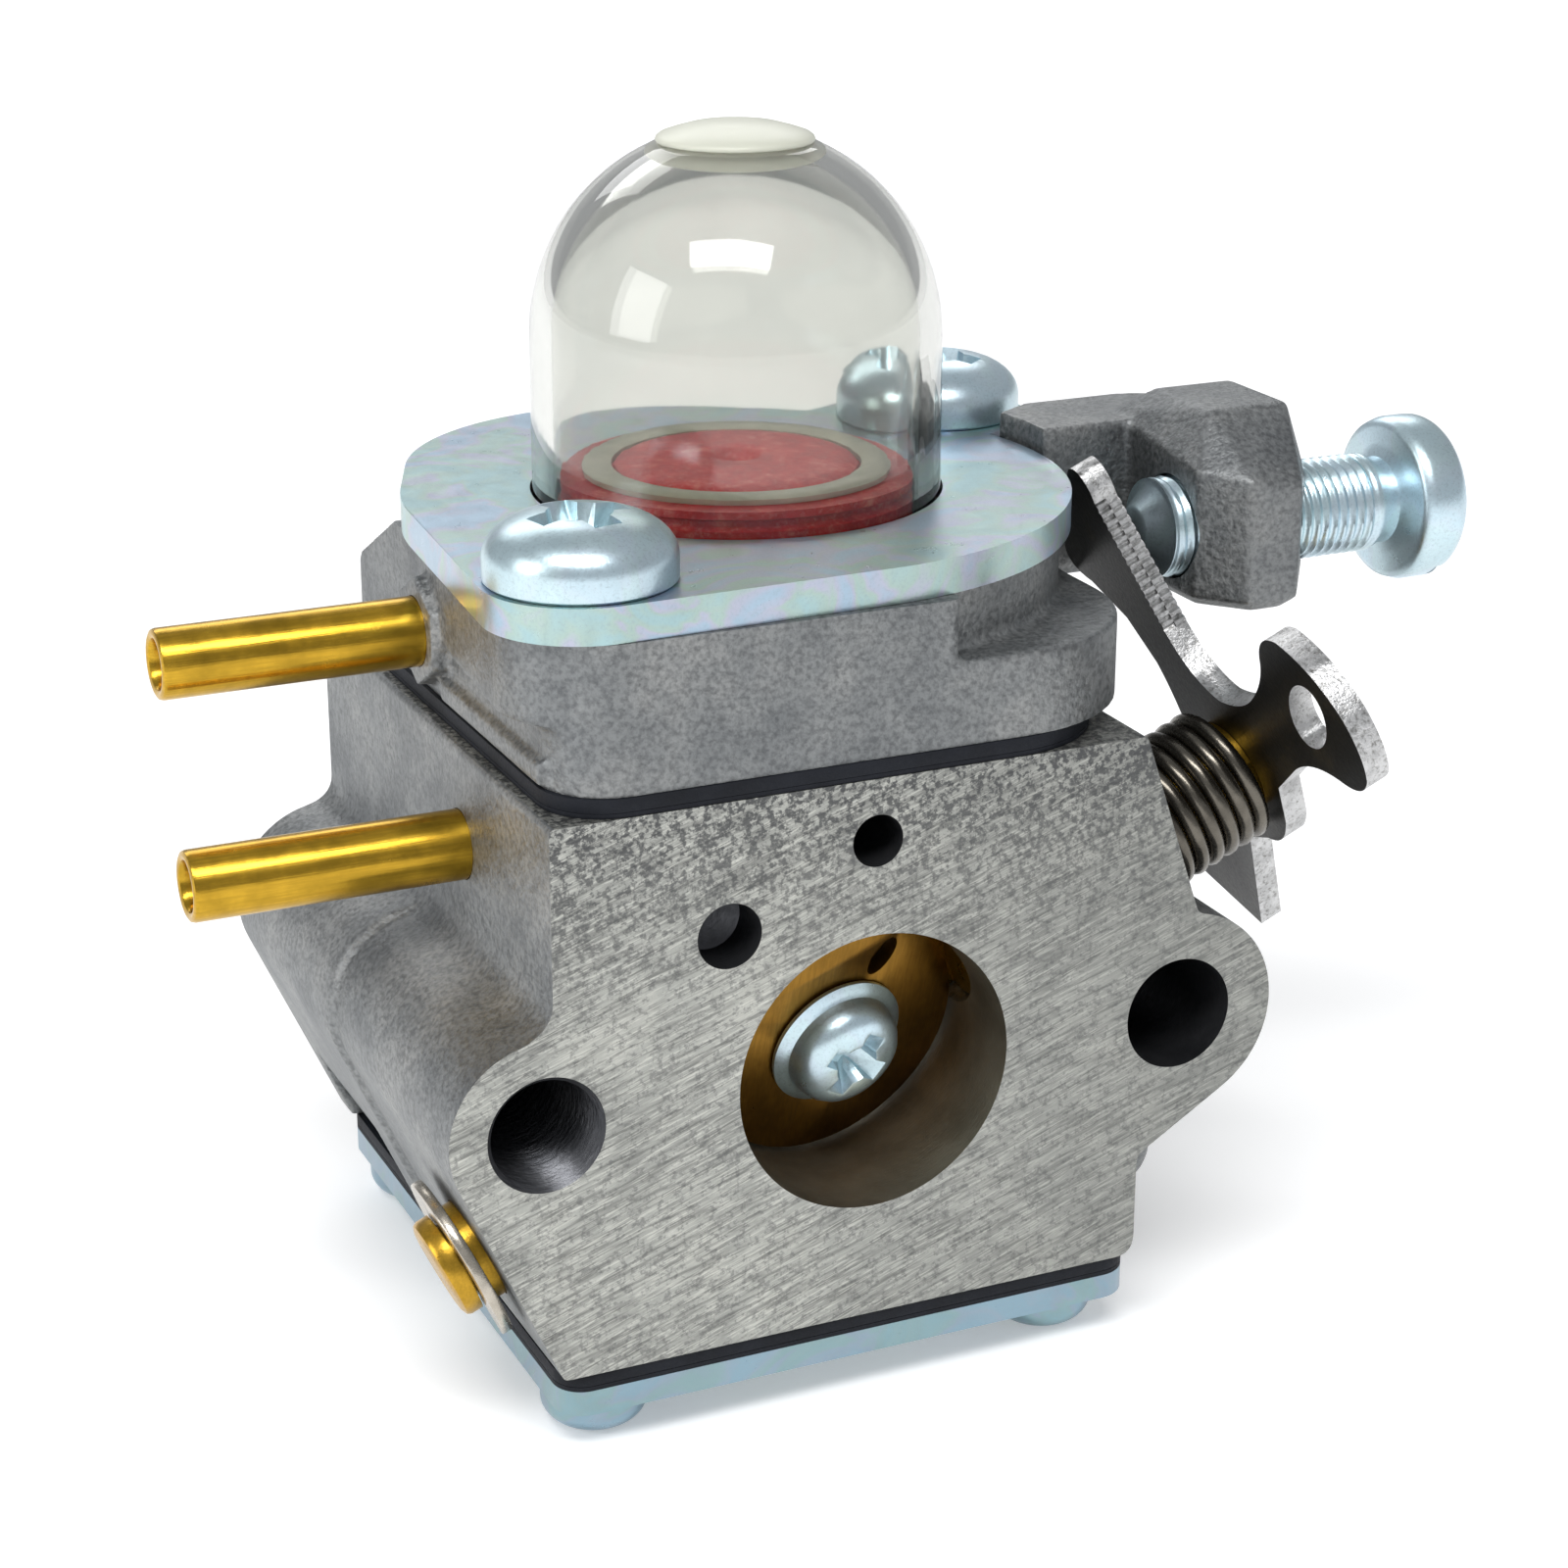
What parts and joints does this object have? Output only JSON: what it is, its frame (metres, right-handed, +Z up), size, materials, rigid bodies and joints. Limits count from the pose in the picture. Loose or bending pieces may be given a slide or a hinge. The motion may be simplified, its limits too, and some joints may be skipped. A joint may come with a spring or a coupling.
{
  "type": "carburetor",
  "caption": "Small two-stroke diaphragm carburetor: cast body with round bore, throttle lever and spring, brass fuel tubes, idle screw and a clear primer bulb on top.",
  "frame": {"origin": "middle of the footprint, at the underside of the four cover screw heads", "axes": "+X along the two mounting bolts towards the idle-speed screw, +Y from the engine face to the air-filter face, +Z up to the primer bulb"},
  "size_m": [0.0632, 0.0412, 0.0556],
  "materials": {
    "cast_aluminium": "as cast, with milled mounting faces",
    "zinc_plate": "bright zinc plating with a blue tint",
    "brass": "drawn brass",
    "blackened_steel": "black oxide faces, bright sheared edges",
    "spring_steel": "oiled spring wire",
    "black_rubber": "matt coated gasket sheet",
    "red_rubber": "moulded silicone",
    "pale_plastic": "moulded nylon",
    "clear_plastic": "clear polyurethane with a slightly yellow tint"
  },
  "bodies": {
    "casting": {"main_body": "cast_aluminium", "pump_diaphragm": "black_rubber", "pump_gasket": "black_rubber", "pump_cover": "cast_aluminium", "inlet_screen": "brass", "retainer_plate": "zinc_plate", "retainer_screw_front": "zinc_plate", "retainer_screw_rear": "zinc_plate", "primer_valve": "red_rubber", "valve_ring": "pale_plastic", "inlet_tube": "brass", "return_tube": "brass", "throttle_spring": "spring_steel", "metering_gasket": "black_rubber", "metering_diaphragm": "black_rubber", "metering_cover": "zinc_plate", "cover_screw_1": "zinc_plate", "cover_screw_2": "zinc_plate", "cover_screw_3": "zinc_plate", "cover_screw_4": "zinc_plate", "lever_pin": "spring_steel", "metering_lever_spring": "spring_steel", "main_nozzle": "brass"},
    "throttle": {"throttle_shaft": "brass", "throttle_plate": "brass", "throttle_plate_screw": "zinc_plate", "throttle_lever": "blackened_steel", "shaft_clip": "spring_steel"},
    "primer": {"primer_bulb": "clear_plastic"},
    "idle_screw": {"idle_speed_screw": "zinc_plate"},
    "high_needle": {"high_speed_needle": "brass"},
    "low_needle": {"low_speed_needle": "brass"},
    "float_lever": {"metering_lever": "zinc_plate"},
    "fuel_needle": {"inlet_needle": "brass"},
    "membrane_centre": {"diaphragm_button": "zinc_plate"}
  },
  "joints": [
    {"name": "throttle_turn", "type": "hinge", "parent": "casting", "child": "throttle", "pos_m": [-0.00405, -0.00702, 0.01598], "axis": [0.9135, 0, 0.4067], "range_deg": [0, 70], "stiffness_Nm_per_rad": 0.02, "springref_deg": -34.38, "deforming": ["throttle_spring"]},
    {"name": "primer_press", "type": "slide", "parent": "casting", "child": "primer", "axis": [0, 0, -1], "range_m": [0, 0.008], "stiffness_N_per_m": 800, "springref_m": -0.001, "deforming": ["primer_bulb"]},
    {"name": "idle_screw_turn", "type": "hinge", "parent": "casting", "child": "idle_screw", "pos_m": [0.02395, -0.00093, 0.03568], "axis": [1, 0, 0], "range_deg": [-360, 360]},
    {"name": "high_needle_turn", "type": "hinge", "parent": "casting", "child": "high_needle", "pos_m": [0.01395, -0.00183, 0.01078], "axis": [1, 0, 0], "range_deg": [0, 540]},
    {"name": "low_needle_turn", "type": "hinge", "parent": "casting", "child": "low_needle", "pos_m": [0.01095, -0.00553, 0.00708], "axis": [1, 0, 0], "range_deg": [0, 540]},
    {"name": "membrane_lift", "type": "slide", "parent": "casting", "child": "membrane_centre", "axis": [0, 0, 1], "range_m": [0, 0.0008], "stiffness_N_per_m": 22, "springref_m": -0.0014, "deforming": ["metering_diaphragm"]},
    {"name": "metering_lever_rock", "type": "hinge", "parent": "casting", "child": "float_lever", "pos_m": [0.00125, 0.00308, 0.00598], "axis": [0, 1, 0], "range_deg": [0, 10], "deforming": ["metering_lever_spring"]},
    {"name": "inlet_needle_lift", "type": "slide", "parent": "casting", "child": "fuel_needle", "axis": [0, 0, -1], "range_m": [0, 0.00055]}
  ],
  "couplings": [
    {"joint": "metering_lever_rock", "follows": "membrane_lift", "rad_per_m": 208.33},
    {"joint": "inlet_needle_lift", "follows": "membrane_lift", "ratio": 0.625}
  ]
}
